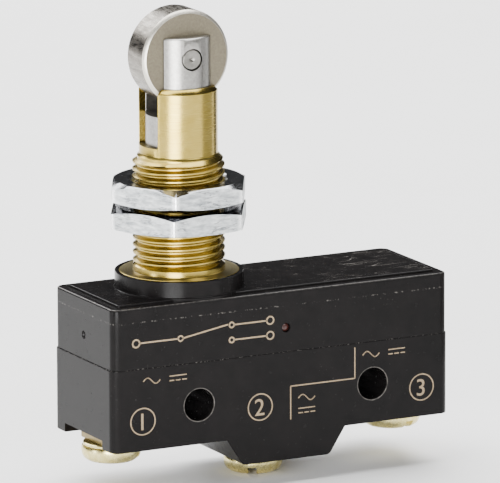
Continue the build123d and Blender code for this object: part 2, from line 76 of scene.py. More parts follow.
case_low, case_high = corner("lower_case")
cover_low, cover_high = corner("upper_cover")
bushing_low, bushing_high = corner("threaded_bushing")
plunger_low, plunger_high = corner("roller_plunger")
roller_low, roller_high = corner("roller")
pin_low, pin_high = corner("roller_pin")

# Lower case and its boss, cross holes, pockets and notches
HALF_WIDTH = case_high.y
CASE_BOTTOM = -21.43
PARTING = cover_low.z
WALL_END = 2.4
WALL_SIDE = 2.3
CORNER_RADIUS = 1.2
EDGE_BREAK = 0.12
BOSS_CENTRE = 11.13
BOSS_HALF_TOP = 8.65
BOSS_HALF_BOTTOM = 6.35
BOSS_ROUND = 0.45
HOLE_X = (-1.57, 23.83)
HOLE_Z = -16.19
HOLE_RADIUS = 2.1
POST_RADIUS = 3.6
FLOOR_TOP = -18.9
POCKET_TOP = -13.9
POCKET_X = (-5.3, 27.5)
RECESS_HALF = 3.65
RISER_X = {"common": -5.7, "normally_open": 16.0, "normally_closed": 28.0}
RISER_HALF = 0.45
SLIT_HALF = 3.05
SEAT_HEIGHT = 3.4
WELL_RADIUS = 2.2
NOTCH_HALF_WIDTH = 5.5
NOTCH_HEIGHT = 0.6
NOTCH_FLARE = 1.2

# Cover and collar
PLATE_TOP = bushing_low.z
PLATE_INSET = 1.35
PLATE_CORNER = 0.35
RIM_TOP = PLATE_TOP - 0.3
RIM_ROUND = 0.3
ROOF_BOTTOM = PLATE_TOP - 2.4
MOULD_LINE = -4.38
MOULD_RIDGE = 0.07
DIMPLE_Z = -7.33
DIMPLE_RING = 0.36
DIMPLE_GROOVE = 0.2
PINHOLE_RADIUS = 0.62
BEAD_DEPTH = 0.5
BUTTON_HOLE_RADIUS = 2.25
COLLAR_RADIUS = 8.4
COLLAR_SINK = 0.8
FLANGE_GAP = 0.02

# Bushing and nuts
FLANGE_RADIUS = 7.8
THREAD_RADIUS = 6.0
THREAD_ROOT = 5.39
THREAD_PITCH = 1.0
THREAD_BOTTOM = 0.75
THREAD_TOP = 15.47
SLEEVE_RADIUS = 5.13
BORE_RADIUS = 4.35
COUNTERBORE_RADIUS = 4.8
PLUNGER_STOP = 6.2
SLOT_HALF = 2.7
SLOT_BOTTOM = 16.67
NUT_CORNER = 17.0 / math.sqrt(3)
NUT_BORE = 6.08
NUT_MOUTH = 6.5
NUT_FACE = 8.3

# Plunger, roller, pin and spring
PLUNGER_RADIUS = 4.3
STOP_RADIUS = 4.7
SPRING_BORE = 2.9
SPRING_BORE_TOP = 18.7
FORK_HALF_GAP = 2.65
FORK_FLOOR = 20.7
ROLLER_Z = (roller_low.z + roller_high.z) / 2
ROLLER_RADIUS = (roller_high.z - roller_low.z) / 2
PIN_RADIUS = (pin_high.z - pin_low.z) / 2
COIL_RADIUS = 2.2
COIL_PITCH = 1.5

# Terminal screws and washers; each slot's turn is in degrees from the case's length
SCREWS = ("common", "normally_open", "normally_closed")
SLOT_TURN = {"common": -45.0, "normally_open": 61.0, "normally_closed": -77.0}
HEAD_HEIGHT = 2.1
SHANK_RADIUS = 1.6
SCREW_THREAD_RADIUS = 1.9
SCREW_PITCH = 0.7
DRIVE_HALF = 0.55
DRIVE_DEPTH = 1.1
WASHER_BORE = 2.1

# Printing
PRINT_Y = case_low.y
INK_DEPTH = 0.03
RULE_WIDTH = 0.16
SIGN_WIDTH = 0.14
DIAGRAM_WIDTH = 0.2

# How far a cutter reaches past what it cuts
SPARE = 1.0

# The share of a thread's pitch that half its ridge takes up at the root and at the crest
RIDGE_ROOT = 0.46
RIDGE_CREST = 0.09


# --- Modelling by hand: one small function for each habit ---
def hold(piece):
    """Selects one piece alone and makes it the active one."""
    bpy.ops.object.select_all(action="DESELECT")
    piece.select_set(True)
    bpy.context.view_layer.objects.active = piece


def added(name, primitive, **settings):
    """A new primitive, alone in the selection, with its lengths given in millimetres."""
    for key in ("size", "radius", "depth", "major_radius", "minor_radius"):
        if key in settings:
            settings[key] *= MM
    settings["location"] = Vector(settings.get("location", (0, 0, 0))) * MM
    getattr(bpy.ops.mesh, f"primitive_{primitive}_add")(**settings)
    piece = bpy.context.object
    piece.name = name
    return piece


def settle(piece):
    """Puts a piece's place into its mesh and leaves its object at the origin."""
    hold(piece)
    bpy.ops.object.transform_apply(location=True, rotation=True, scale=True)


def edit(piece):
    """Opens a piece for editing with all of it picked."""
    hold(piece)
    bpy.ops.object.mode_set(mode="EDIT")
    bpy.ops.mesh.select_mode(type="VERT")
    bpy.ops.mesh.select_all(action="SELECT")


def done():
    """Closes the piece that is open for editing."""
    bpy.ops.object.mode_set(mode="OBJECT")


def pick(piece, kind, test):
    """Picks the faces, edges or vertices of an open piece that pass a test."""
    modes = {"faces": "FACE", "edges": "EDGE", "verts": "VERT"}
    bpy.ops.mesh.select_mode(type=modes[kind])
    bpy.ops.mesh.select_all(action="DESELECT")
    mesh = bmesh.from_edit_mesh(piece.data)
    for part in getattr(mesh, kind):
        if test(part):
            part.select_set(True)
    mesh.select_flush_mode()
    bmesh.update_edit_mesh(piece.data)


def middle(part):
    """The middle of a face or edge, in millimetres."""
    if isinstance(part, bmesh.types.BMFace):
        return part.calc_center_median() / MM
    return (part.verts[0].co + part.verts[1].co) / 2 / MM


def along(edge, axis):
    """Whether an edge runs along an axis."""
    run = edge.verts[1].co - edge.verts[0].co
    return run.length > 0 and abs(run[axis]) / run.length > 0.999


def near(value, other, reach=0.01):
    """Whether two values are within reach of each other."""
    return abs(value - other) < reach


def at_height(edge, z):
    """Whether both ends of an edge are at a height."""
    return all(near(vertex.co.z / MM, z) for vertex in edge.verts)


def folded(edge, least=0.6):
    """Whether an edge's two faces meet at more than an angle in radians."""
    return len(edge.link_faces) == 2 and edge.calc_face_angle(0) > least


def rounded_edges(piece, test, width, segments=3):
    """Bevels the picked edges."""
    edit(piece)
    pick(piece, "edges", test)
    bpy.ops.mesh.bevel(offset=width * MM, segments=segments, affect="EDGES")
    done()


def modified(piece, kind, **settings):
    """Adds a modifier, sets it and applies it."""
    hold(piece)
    modifier = piece.modifiers.new(kind.lower(), kind)
    for key, value in settings.items():
        setattr(modifier, key, value)
    bpy.ops.object.modifier_apply(modifier=modifier.name)


def broken_edges(piece, width, angle=32):
    """Breaks every edge of a piece that is sharper than an angle in degrees."""
    modified(piece, "BEVEL", width=width * MM, segments=2, limit_method="ANGLE",
             angle_limit=math.radians(angle), miter_outer="MITER_ARC", use_clamp_overlap=True)


def cut(piece, *cutters, operation="DIFFERENCE"):
    """Cuts, joins or crosses a piece with others, which are used up."""
    for cutter in cutters:
        modified(piece, "BOOLEAN", object=cutter, operation=operation, solver="EXACT")
        bpy.data.objects.remove(cutter)


def joined(piece, other):
    """Joins another mesh into a piece without cutting either."""
    hold(piece)
    other.select_set(True)
    bpy.ops.object.join()
    return piece


def smooth(piece, angle=30):
    """Smooths a piece up to an angle, and keeps its flat faces flat right up to their edges."""
    hold(piece)
    bpy.ops.object.shade_smooth_by_angle(angle=math.radians(angle))
    modified(piece, "WEIGHTED_NORMAL", keep_sharp=True, weight=100)


def tidy_normals(piece):
    """Merges doubled points and turns every face outwards."""
    edit(piece)
    bpy.ops.mesh.remove_doubles(threshold=0.0005 * MM)
    bpy.ops.mesh.normals_make_consistent(inside=False)
    done()


def swung(piece, axis, angle):
    """Turns a piece about an axis through the origin, by an angle in radians."""
    edit(piece)
    bpy.ops.transform.rotate(value=angle, orient_axis=axis, center_override=(0, 0, 0))
    done()


def shifted(piece, x=0.0, y=0.0, z=0.0):
    """Moves a piece by a distance along each axis."""
    edit(piece)
    bpy.ops.transform.translate(value=(x * MM, y * MM, z * MM))
    done()


def laid_over(piece, z):
    """Turns an upright piece made round the origin to lie along Y at a height."""
    swung(piece, "X", math.pi / 2)
    shifted(piece, z=z)
    return piece


def capped(piece):
    """Closes the open ends of a wound piece."""
    edit(piece)
    bpy.ops.mesh.select_mode(type="EDGE")
    bpy.ops.mesh.select_all(action="DESELECT")
    bpy.ops.mesh.select_non_manifold()
    bpy.ops.mesh.edge_face_add()
    done()
    tidy_normals(piece)


def box_between(name, x, y, z):
    """A box between two limits on each axis."""
    centre = [(low + high) / 2 for low, high in (x, y, z)]
    piece = added(name, "cube", size=1.0, location=centre)
    piece.scale = (x[1] - x[0], y[1] - y[0], z[1] - z[0])
    settle(piece)
    return piece


def rod(name, radius, low, high, x=0.0):
    """An upright plain cylinder."""
    piece = added(name, "cylinder", vertices=64, radius=radius, depth=high - low,
                  location=(x, 0, (low + high) / 2))
    settle(piece)
    return piece


def cross_rod(name, radius, half_length, x, z, y=0.0, segments=64):
    """A plain cylinder along Y."""
    piece = added(name, "cylinder", vertices=segments, radius=radius, depth=2 * half_length,
                  location=(x, y, z), rotation=(math.pi / 2, 0, 0))
    settle(piece)
    return piece


def turned(name, profile, segments=96):
    """A lathe-turned body: a circle, extruded and resized through each (radius, z) of its profile.
    A profile that ends where it starts makes a ring; any other is closed at each end."""
    ring = near(profile[0][0], profile[-1][0]) and near(profile[0][1], profile[-1][1])
    radius, z = profile[0]
    piece = added(name, "circle", vertices=segments, radius=radius, location=(0, 0, z))
    settle(piece)
    edit(piece)
    if not ring:
        bpy.ops.mesh.extrude_region_move()
        bpy.ops.mesh.merge(type="CENTER")
        pick(piece, "verts", lambda v: (v.co / MM - Vector((0, 0, z))).length > radius / 2)
    for next_radius, next_z in profile[1:]:
        rise = (0, 0, (next_z - z) * MM)
        bpy.ops.mesh.extrude_region_move(TRANSFORM_OT_translate={"value": rise})
        if next_radius != radius:
            grow = next_radius / radius
            bpy.ops.transform.resize(value=(grow, grow, 1), center_override=(0, 0, next_z * MM))
        radius, z = next_radius, next_z
    if not ring:
        bpy.ops.mesh.extrude_region_move()
        bpy.ops.mesh.merge(type="CENTER")
    done()
    tidy_normals(piece)
    return piece


def thread_ridge(name, root, crest, pitch, bottom, top, steps=72):
    """A thread's ridge, wound by the screw modifier and tapered away at its top end."""
    half_root, half_crest = pitch * RIDGE_ROOT, pitch * RIDGE_CREST
    inside = root - 0.05
    taper_length, taper_slope = 0.9, 0.95
    piece = added(name, "plane", size=1.0)
    settle(piece)
    outline = [(inside, -half_root), (crest, -half_crest), (inside, half_root), (crest, half_crest)]
    for vertex, (radius, z) in zip(piece.data.vertices, outline):
        vertex.co = (radius * MM, 0, (bottom + z) * MM)
    turns = int((top - bottom - half_root) / pitch)
    modified(piece, "SCREW", axis="Z", angle=math.tau, screw_offset=pitch * MM, iterations=turns,
             steps=steps, render_steps=steps, use_merge_vertices=False)
    for vertex in piece.data.vertices:
        radius = math.hypot(vertex.co.x, vertex.co.y) / MM
        past = max(0.0, vertex.co.z / MM - (top - taper_length))
        shrink = min(1.0, (crest - past * taper_slope) / radius)
        vertex.co.x *= shrink
        vertex.co.y *= shrink
    capped(piece)
    return piece


def from_node(node, name, width):
    """A merged copy of a CAD node with its sharp edges broken."""
    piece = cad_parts[node].copy()
    piece.data = piece.data.copy()
    piece.parent = None
    piece.name = name
    for key in [k for k in piece.keys() if k.startswith("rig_")]:
        del piece[key]
    bpy.context.scene.collection.objects.link(piece)
    edit(piece)
    bpy.ops.mesh.remove_doubles(threshold=0.001 * MM)
    bpy.ops.mesh.dissolve_limited(angle_limit=math.radians(1.0))
    bpy.ops.mesh.normals_make_consistent(inside=False)
    done()
    broken_edges(piece, width)
    return piece


def finish_piece(piece, material, body, slot, *nodes, angle=30):
    """Smooths a piece, gives it a material, ties it to its body, and hides the nodes it stands for.
    """
    smooth(piece, angle)
    piece.data.materials.clear()
    piece.data.materials.append(material)
    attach(piece, body)
    if nodes:
        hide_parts(*nodes)
    return piece


# --- Materials ---
# Moulded grain, tool rings and frosting are finer than this on a real part. They are drawn 0.12 to
# 0.3 mm apart because anything finer wouldn't show.
def linear(hex_colour):
    """An sRGB hex colour as linear RGBA."""
    channels = [int(hex_colour[i:i + 2], 16) / 255 for i in (1, 3, 5)]
    return [c / 12.92 if c <= 0.04045 else ((c + 0.055) / 1.055) ** 2.4 for c in channels] + [1.0]


def feed(material, socket, value):
    """Links an output to a socket, or sets the socket to a plain value or a hex colour."""
    if isinstance(value, bpy.types.NodeSocket):
        material.node_tree.links.new(value, socket)
    else:
        socket.default_value = linear(value) if isinstance(value, str) else value


def add(material, kind, *sources, output=None, **settings):
    """Adds a node: capitalised settings feed the sockets they name, others are its properties, and
    the sources feed its sockets in order. Gives back the output named, or the first in use."""
    made = material.node_tree.nodes.new("ShaderNode" + kind)
    for key, value in settings.items():
        if key.islower():
            setattr(made, key, value)
        else:
            feed(material, made.inputs[key.replace("_", " ")], value)
    for socket, value in zip([socket for socket in made.inputs if socket.enabled], sources):
        feed(material, socket, value)
    if output:
        return made.outputs[output]
    return next(socket for socket in made.outputs if socket.enabled)


def new_material(name, **numbers):
    """A material with plain numbers on its shader's own sockets."""
    material = bpy.data.materials.new(name)
    material.use_nodes = True
    dress(material, **numbers)
    return material


def dress(material, **sockets):
    """Feeds the sockets of a material's shader."""
    shader = material.node_tree.nodes["Principled BSDF"]
    for key, value in sockets.items():
        feed(material, shader.inputs[key.replace("_", " ")], value)


def per_mm(size):
    """The texture scale whose features are about one size, in millimetres, apart."""
    return 1.0 / (size * MM)


def patches(material, size, low=0.0, high=1.0, start=0.3, end=0.7, stretch=(1, 1, 1)):
    """A value that drifts from low to high in soft patches of about one size, in millimetres."""
    where = add(material, "Mapping", add(material, "TexCoord", output="Object"), Scale=stretch)
    noise = add(material, "TexNoise", where, Scale=per_mm(size), Detail=3.0, Roughness=0.6)
    return add(material, "MapRange", noise, start, end, low, high)


def mottled(material, size, first, second, stretch=(1, 1, 1)):
    """Two colours that drift into each other in soft patches."""
    drift = patches(material, size, stretch=stretch)
    return add(material, "Mix", drift, first, second, data_type="RGBA")


def relief(material, height, most):
    """The surface's direction when a pattern raises it, at most a height in millimetres."""
    return add(material, "Bump", Height=height, Distance=most * MM)


def band(material, value, centre, half):
    """One where a value is at a centre, falling to nought at half a band's width from it."""
    gap = add(material, "Math", value, centre, operation="SUBTRACT")
    gap = add(material, "Math", gap, operation="ABSOLUTE")
    return add(material, "MapRange", gap, 0.0, half, 1.0, 0.0)


def level(material, z, half):
    """A band at a height on the part, in millimetres."""
    where = add(material, "TexCoord", output="Object")
    return band(material, add(material, "SeparateXYZ", where, output="Z"), z * MM, half * MM)


def facing(material, axis, low=0.85, high=0.95):
    """One where the surface faces along an axis, either way, and nought where it doesn't."""
    normal = add(material, "TexCoord", output="Normal")
    part = add(material, "SeparateXYZ", normal, output=axis)
    return add(material, "MapRange", add(material, "Math", part, operation="ABSOLUTE"),
               low, high, 0.0, 1.0)


def from_axis(material):
    """The distance from the bushing's axis."""
    flat = add(material, "Mapping", add(material, "TexCoord", output="Object"), Scale=(1, 1, 0))
    return add(material, "VectorMath", flat, operation="LENGTH")


def outwards(material, start, end):
    """Nought inside one radius from the bushing's axis and one beyond another, in millimetres."""
    return add(material, "MapRange", from_axis(material), start * MM, end * MM, 0.0, 1.0)


def hairlines(material, turn, stretch, size, width=0.008):
    """Thin wandering lines where a stretched noise crosses its middle, as scratches do."""
    place = add(material, "TexCoord", output="Object")
    where = add(material, "Mapping", place, Rotation=(0, 0, turn), Scale=(1.0, stretch, 1.0))
    noise = add(material, "TexNoise", where, Scale=per_mm(size), Detail=1.0)
    return band(material, noise, 0.5, width)


def drawn_cracks(material):
    """Fine cracks that run round the hexagon bar, in patches."""
    place = add(material, "TexCoord", output="Object")
    where = add(material, "Mapping", place, Scale=(0.16, 0.16, 1.0))
    noise = add(material, "TexNoise", where, Scale=per_mm(0.75), Detail=4.0, Roughness=0.7)
    return add(material, "Math", band(material, noise, 0.5, 0.03),
               patches(material, 3.5, 0.0, 0.9, 0.44, 0.54), operation="MULTIPLY")


def hole_rim(material, x):
    """A fine line round the mouths of a cross hole."""
    place = add(material, "TexCoord", output="Object")
    across = add(material, "Mapping", place, Location=(-x * MM, 0, -HOLE_Z * MM), Scale=(1, 0, 1))
    radius = add(material, "VectorMath", across, operation="LENGTH")
    return band(material, radius, (HOLE_RADIUS + 0.1) * MM, 0.09 * MM)


def ring_marks(material, spacing, low=0.0, high=1.0):
    """Turning marks: rings up the walls, and outwards from the axis on the faces."""
    height = add(material, "SeparateXYZ", add(material, "TexCoord", output="Object"), output="Z")
    way = add(material, "Math", from_axis(material), height, operation="ADD")
    rings = add(material, "TexNoise", way, noise_dimensions="1D", Scale=per_mm(spacing), Detail=2.0)
    return add(material, "MapRange", rings, 0.3, 0.7, low, high)


def phenolic():
    """Black phenolic, compression moulded: satin walls, faint grain, fine handling scratches and
    dust on the top, pale specks of torn flash along the mould and parting lines, and a painted
    highlight along the rim."""
    material = new_material("black_phenolic", IOR=1.5, Specular_IOR_Level=0.09)
    flat = facing(material, "Z", 0.9, 0.99)
    top = add(material, "Math", flat, level(material, PLATE_TOP, 0.3), operation="MULTIPLY")
    scratched = add(material, "Math", top, patches(material, 5.0, 0.0, 0.22, 0.53, 0.66),
                    operation="MULTIPLY")
    scratches = add(material, "Math", hairlines(material, 0.7, 6.0, 10.0),
                    hairlines(material, 2.3, 8.0, 7.0, 0.006), operation="MAXIMUM")
    scratches = add(material, "Math", scratches, scratched, operation="MULTIPLY")
    dust = add(material, "Math", patches(material, 0.35, 0.0, 0.06, 0.66, 0.74),
               patches(material, 4.0, 0.0, 1.0, 0.52, 0.6), operation="MULTIPLY")
    seams = add(material, "Math", level(material, MOULD_LINE, 0.13), level(material, PARTING, 0.1),
                operation="MAXIMUM")
    flash = add(material, "Math", seams, patches(material, 0.35, 0.0, 0.26, 0.55, 0.68),
                operation="MULTIPLY")
    # A pale band along the rim's top edge, on the upright faces: a painted highlight.
    rim = add(material, "Math", level(material, RIM_TOP - 0.06, 0.09),
              patches(material, 0.5, 0.0, 0.16), operation="MULTIPLY")
    upright = add(material, "Math", 1.0, flat, operation="SUBTRACT")
    wear_and_painted_sheen = add(material, "Math", rim, upright, operation="MULTIPLY")
    holes = add(material, "Math", *[hole_rim(material, x) for x in HOLE_X], operation="MAXIMUM")
    holes = add(material, "Math", holes, patches(material, 0.6, 0.04, 0.3), operation="MULTIPLY")
    pale = scratches
    for mark in (dust, flash, wear_and_painted_sheen, holes):
        pale = add(material, "Math", pale, mark, operation="MAXIMUM")
    black = mottled(material, 2.5, "#0F0E0E", "#151313")
    gloss = add(material, "Math", pale, 0.5, patches(material, 0.9, 0.17, 0.28),
                operation="MULTIPLY_ADD")
    dress(material, Base_Color=add(material, "Mix", pale, black, "#C8C2BA", data_type="RGBA"),
          Roughness=gloss, Normal=relief(material, patches(material, 0.16), 0.0012))
    return material


def turned_brass():
    """Bright free-machining brass: warm yellow, satin from fine rings left by the turning tool, and
    rougher on its flat faces, which get a darker, greyer colour as painted shade."""
    material = new_material("turned_brass", Metallic=1.0)
    flat = facing(material, "Z")
    yellow = mottled(material, 2.0, "#A69044", "#B6A056")
    satin = add(material, "Math", flat, 0.1, ring_marks(material, 0.2, 0.2, 0.29),
                operation="MULTIPLY_ADD")
    # The darker, greyer colour on the flat faces is painted shade.
    dress(material, Base_Color=add(material, "Mix", flat, yellow, "#857B57", data_type="RGBA"),
          Roughness=satin, Normal=relief(material, ring_marks(material, 0.13), 0.0007))
    return material


def zinc_plate():
    """Zinc-plated steel: sides pale, frosted and streaked from cold drawing, corners burnished by
    spanners, faces and chamfers darker and smooth from the tool."""
    material = new_material("zinc_plate", Metallic=1.0)
    face = facing(material, "Z", 0.55, 0.75)
    wall = add(material, "Math", 1.0, face, operation="SUBTRACT")
    frost = mottled(material, 0.5, "#A4A9AC", "#EEF1F1", (0.3, 0.3, 1.0))
    cracks = drawn_cracks(material)
    sides = add(material, "Mix", cracks, frost, "#4C5157", data_type="RGBA")
    corners = add(material, "Math", outwards(material, NUT_CORNER - 0.35, NUT_CORNER - 0.12), wall,
                  operation="MULTIPLY")
    burnished = add(material, "Mix", corners, sides, "#FAFBFB", data_type="RGBA")
    rough = add(material, "Math", face, -0.34, patches(material, 0.35, 0.38, 0.58),
                operation="MULTIPLY_ADD")
    smoothed = add(material, "Math", corners, -0.25, rough, operation="MULTIPLY_ADD")
    height = add(material, "Math", cracks, -0.6, patches(material, 0.22), operation="MULTIPLY_ADD")
    on_walls = add(material, "MapRange", face, 0.0, 1.0, 1.0, 0.1)
    height = add(material, "Math", height, on_walls, operation="MULTIPLY")
    dress(material, Base_Color=add(material, "Mix", face, burnished, "#9B9C9F", data_type="RGBA"),
          Roughness=smoothed, Normal=relief(material, height, 0.011))
    return material


def bright_steel():
    """Turned and tumbled steel: pale, softly frosted, with faint tool rings."""
    material = new_material("tumbled_steel", Metallic=1.0)
    height = add(material, "Math", patches(material, 0.12), ring_marks(material, 0.15),
                 operation="ADD")
    dress(material, Base_Color=mottled(material, 0.4, "#918F8B", "#ACAAA6"),
          Roughness=patches(material, 0.2, 0.27, 0.36), Normal=relief(material, height, 0.0006))
    return material


def roller_steel():
    """Sintered steel: end faces matt and faintly warm, bevels pale, tread rolled bright and
    streaked."""
    material = new_material("sintered_steel", Metallic=1.0)
    face = facing(material, "Y", 0.9, 0.97)
    bevel = add(material, "Math", facing(material, "Y", 0.25, 0.4), face, operation="SUBTRACT")
    streaks = mottled(material, 0.5, "#645F58", "#98938B", (1, 0.2, 1))
    ground = add(material, "Mix", bevel, streaks, "#D6D1C5", data_type="RGBA")
    matt = mottled(material, 0.3, "#787162", "#857E6C")
    wear_and_painted_sheen = patches(material, 0.3, 0.2, 0.38, stretch=(1, 0.25, 1))
    dull = add(material, "Math", bevel, 0.4, face, operation="MULTIPLY_ADD")
    dress(material, Base_Color=add(material, "Mix", face, ground, matt, data_type="RGBA"),
          Roughness=add(material, "Math", dull, 0.3, wear_and_painted_sheen, operation="MULTIPLY_ADD"),
          Normal=relief(material, patches(material, 0.12), 0.0016))
    return material


def plain_metal(name, dark, light, roughness, mottle=0.6):
    """A drawn, stamped or plated metal: two close tones, a slightly uneven shine and fine grain."""
    material = new_material(name, Metallic=1.0)
    dress(material, Base_Color=mottled(material, mottle, dark, light),
          Roughness=patches(material, 0.3, roughness - 0.06, roughness + 0.08),
          Normal=relief(material, patches(material, 0.2), 0.0014))
    return material


def button_resin():
    """Red-brown moulded resin, slightly glossy."""
    material = new_material("red_resin", IOR=1.5)
    dress(material, Base_Color=mottled(material, 1.2, "#2B100D", "#421C15"),
          Roughness=patches(material, 0.6, 0.26, 0.36))
    return material


def tan_ink():
    """Pad-printed tan ink: matt, a little thin in places."""
    material = new_material("tan_ink", IOR=1.45)
    dress(material, Base_Color=mottled(material, 0.25, "#857359", "#9D8A6F"),
          Roughness=patches(material, 0.4, 0.55, 0.7),
          Normal=relief(material, patches(material, 0.15), 0.0016))
    return material


PHENOLIC = phenolic()
BRASS = turned_brass()
ZINC = zinc_plate()
STEEL = bright_steel()
SINTERED = roller_steel()
SCREW_BRASS = plain_metal("plated_brass", "#D2C37E", "#E8DDA2", 0.26, 0.8)
SPRING = plain_metal("spring_steel", "#8A8B8D", "#A2A3A5", 0.28)
PIN_STEEL = plain_metal("pin_steel", "#84827D", "#96948E", 0.42)
COPPER = plain_metal("beryllium_copper", "#C99368", "#D8A67C", 0.26)
SILVER = plain_metal("contact_silver", "#D5D5D2", "#E4E4E2", 0.22)
# The terminal strips' dark brown colour is painted shade.
SHADED_SHEET_BRASS = plain_metal("shaded_sheet_brass", "#7D6E49", "#918158", 0.34)
RESIN = button_resin()
INK = tan_ink()


# --- Case ---
def cross_posts(pocket):
    """Leaves solid posts round the cross holes in a pocket."""
    cut(pocket, *[cross_rod("post", POST_RADIUS, HALF_WIDTH, x, HOLE_Z) for x in HOLE_X])


def terminal_recess(piece, name):
    """A terminal's recess in the underside, its screw's well, and its riser's slit."""
    low, _ = corner(f"{name}_terminal")
    screw_low, screw_high = corner(f"{name}_screw")
    seat = screw_low.z + SEAT_HEIGHT
    riser = (RISER_X[name] - RISER_HALF, RISER_X[name] + RISER_HALF)
    reach = {"common": (case_low.x - SPARE, riser[1]), "normally_open": (low.x - 0.05, riser[1]),
             "normally_closed": (riser[0], case_high.x + SPARE)}[name]
    cut(piece, box_between("recess", reach, (-RECESS_HALF, RECESS_HALF),
                           (case_low.z - SPARE, seat)))
    cut(piece, box_between("slit", riser, (-SLIT_HALF, SLIT_HALF), (seat - 0.1, POCKET_TOP + 0.1)))
    cut(piece, rod("well", WELL_RADIUS, seat - 0.1, screw_high.z + 0.6,
                   (screw_low.x + screw_high.x) / 2))


def end_notch(piece, end, inward):
    """A notch in the lower edge of an end, higher at the outside."""
    bottom = CASE_BOTTOM - SPARE
    notch = box_between("notch", sorted((end - inward, end + inward)),
                        (-NOTCH_HALF_WIDTH, NOTCH_HALF_WIDTH), (bottom, CASE_BOTTOM + NOTCH_HEIGHT))
    edit(notch)
    pick(notch, "faces", lambda f: near(middle(f).x, end - inward))
    bpy.ops.transform.resize(value=(1, 1, 1 + NOTCH_FLARE / (SPARE + NOTCH_HEIGHT)),
                             center_override=(0, 0, bottom * MM))
    done()
    cut(piece, notch)


def round_cross_hole(edge):
    """Whether an edge runs round the mouth of a cross hole."""
    at = middle(edge)
    return near(abs(at.y), HALF_WIDTH) and any(
        near(math.hypot(at.x - x, at.z - HOLE_Z), HOLE_RADIUS, 0.02) for x in HOLE_X)


def case_moulding():
    """The lower half: walls with rounded corners, boss, cross holes, terminal recesses."""
    ends = (case_low.x, case_high.x)
    piece = box_between("case_moulding", ends, (-HALF_WIDTH, HALF_WIDTH), (CASE_BOTTOM, PARTING))
    edit(piece)
    for x in (BOSS_CENTRE - BOSS_HALF_TOP, BOSS_CENTRE + BOSS_HALF_TOP):
        bpy.ops.mesh.select_all(action="SELECT")
        bpy.ops.mesh.bisect(plane_co=(x * MM, 0, 0), plane_no=(1, 0, 0))
    pick(piece, "faces",
         lambda f: near(middle(f).z, CASE_BOTTOM) and near(middle(f).x, BOSS_CENTRE, 1.0))
    drop = (0, 0, (case_low.z - CASE_BOTTOM) * MM)
    bpy.ops.mesh.extrude_region_move(TRANSFORM_OT_translate={"value": drop})
    bpy.ops.transform.resize(value=(BOSS_HALF_BOTTOM / BOSS_HALF_TOP, 1, 1),
                             center_override=(BOSS_CENTRE * MM, 0, case_low.z * MM))
    done()
    rounded_edges(piece, lambda e: along(e, 2) and any(near(middle(e).x, x) for x in ends),
                  CORNER_RADIUS, 8)
    rounded_edges(piece, lambda e: along(e, 1) and near(middle(e).z, case_low.z), BOSS_ROUND, 4)
    broken_edges(piece, EDGE_BREAK, 28)
    inner_x = (case_low.x + WALL_END, case_high.x - WALL_END)
    inner_y = (-HALF_WIDTH + WALL_SIDE, HALF_WIDTH - WALL_SIDE)
    pocket = box_between("pocket", POCKET_X, inner_y, (FLOOR_TOP, POCKET_TOP + 0.5))
    cross_posts(pocket)
    tray = box_between("tray", inner_x, inner_y, (POCKET_TOP, PARTING + SPARE))
    cross_posts(tray)
    cut(piece, pocket, tray)
    cut(piece, *[cross_rod("hole", HOLE_RADIUS, HALF_WIDTH + SPARE, x, HOLE_Z, segments=96)
                 for x in HOLE_X])
    for name in SCREWS:
        terminal_recess(piece, name)
    end_notch(piece, case_low.x, WALL_END)
    end_notch(piece, case_high.x, -WALL_END)
    tidy_normals(piece)
    rounded_edges(piece, round_cross_hole, EDGE_BREAK, 2)
    return finish_piece(piece, PHENOLIC, "case", "phenolic", "lower_case")


def moulded_collar():
    """The collar that stands on the plate round the bushing's flange, with a small fillet below."""
    foot = PLATE_TOP + 0.01
    sunk = PLATE_TOP - COLLAR_SINK
    inner = FLANGE_RADIUS + FLANGE_GAP
    return turned("collar", [
        (inner, sunk), (COLLAR_RADIUS + 0.22, sunk), (COLLAR_RADIUS + 0.22, foot),
        (COLLAR_RADIUS + 0.08, foot + 0.05), (COLLAR_RADIUS, foot + 0.2), (COLLAR_RADIUS, -0.14),
        (COLLAR_RADIUS - 0.04, -0.04), (COLLAR_RADIUS - 0.14, 0.0), (inner + 0.06, 0.0),
        (inner, -0.06), (inner, sunk)], 128)


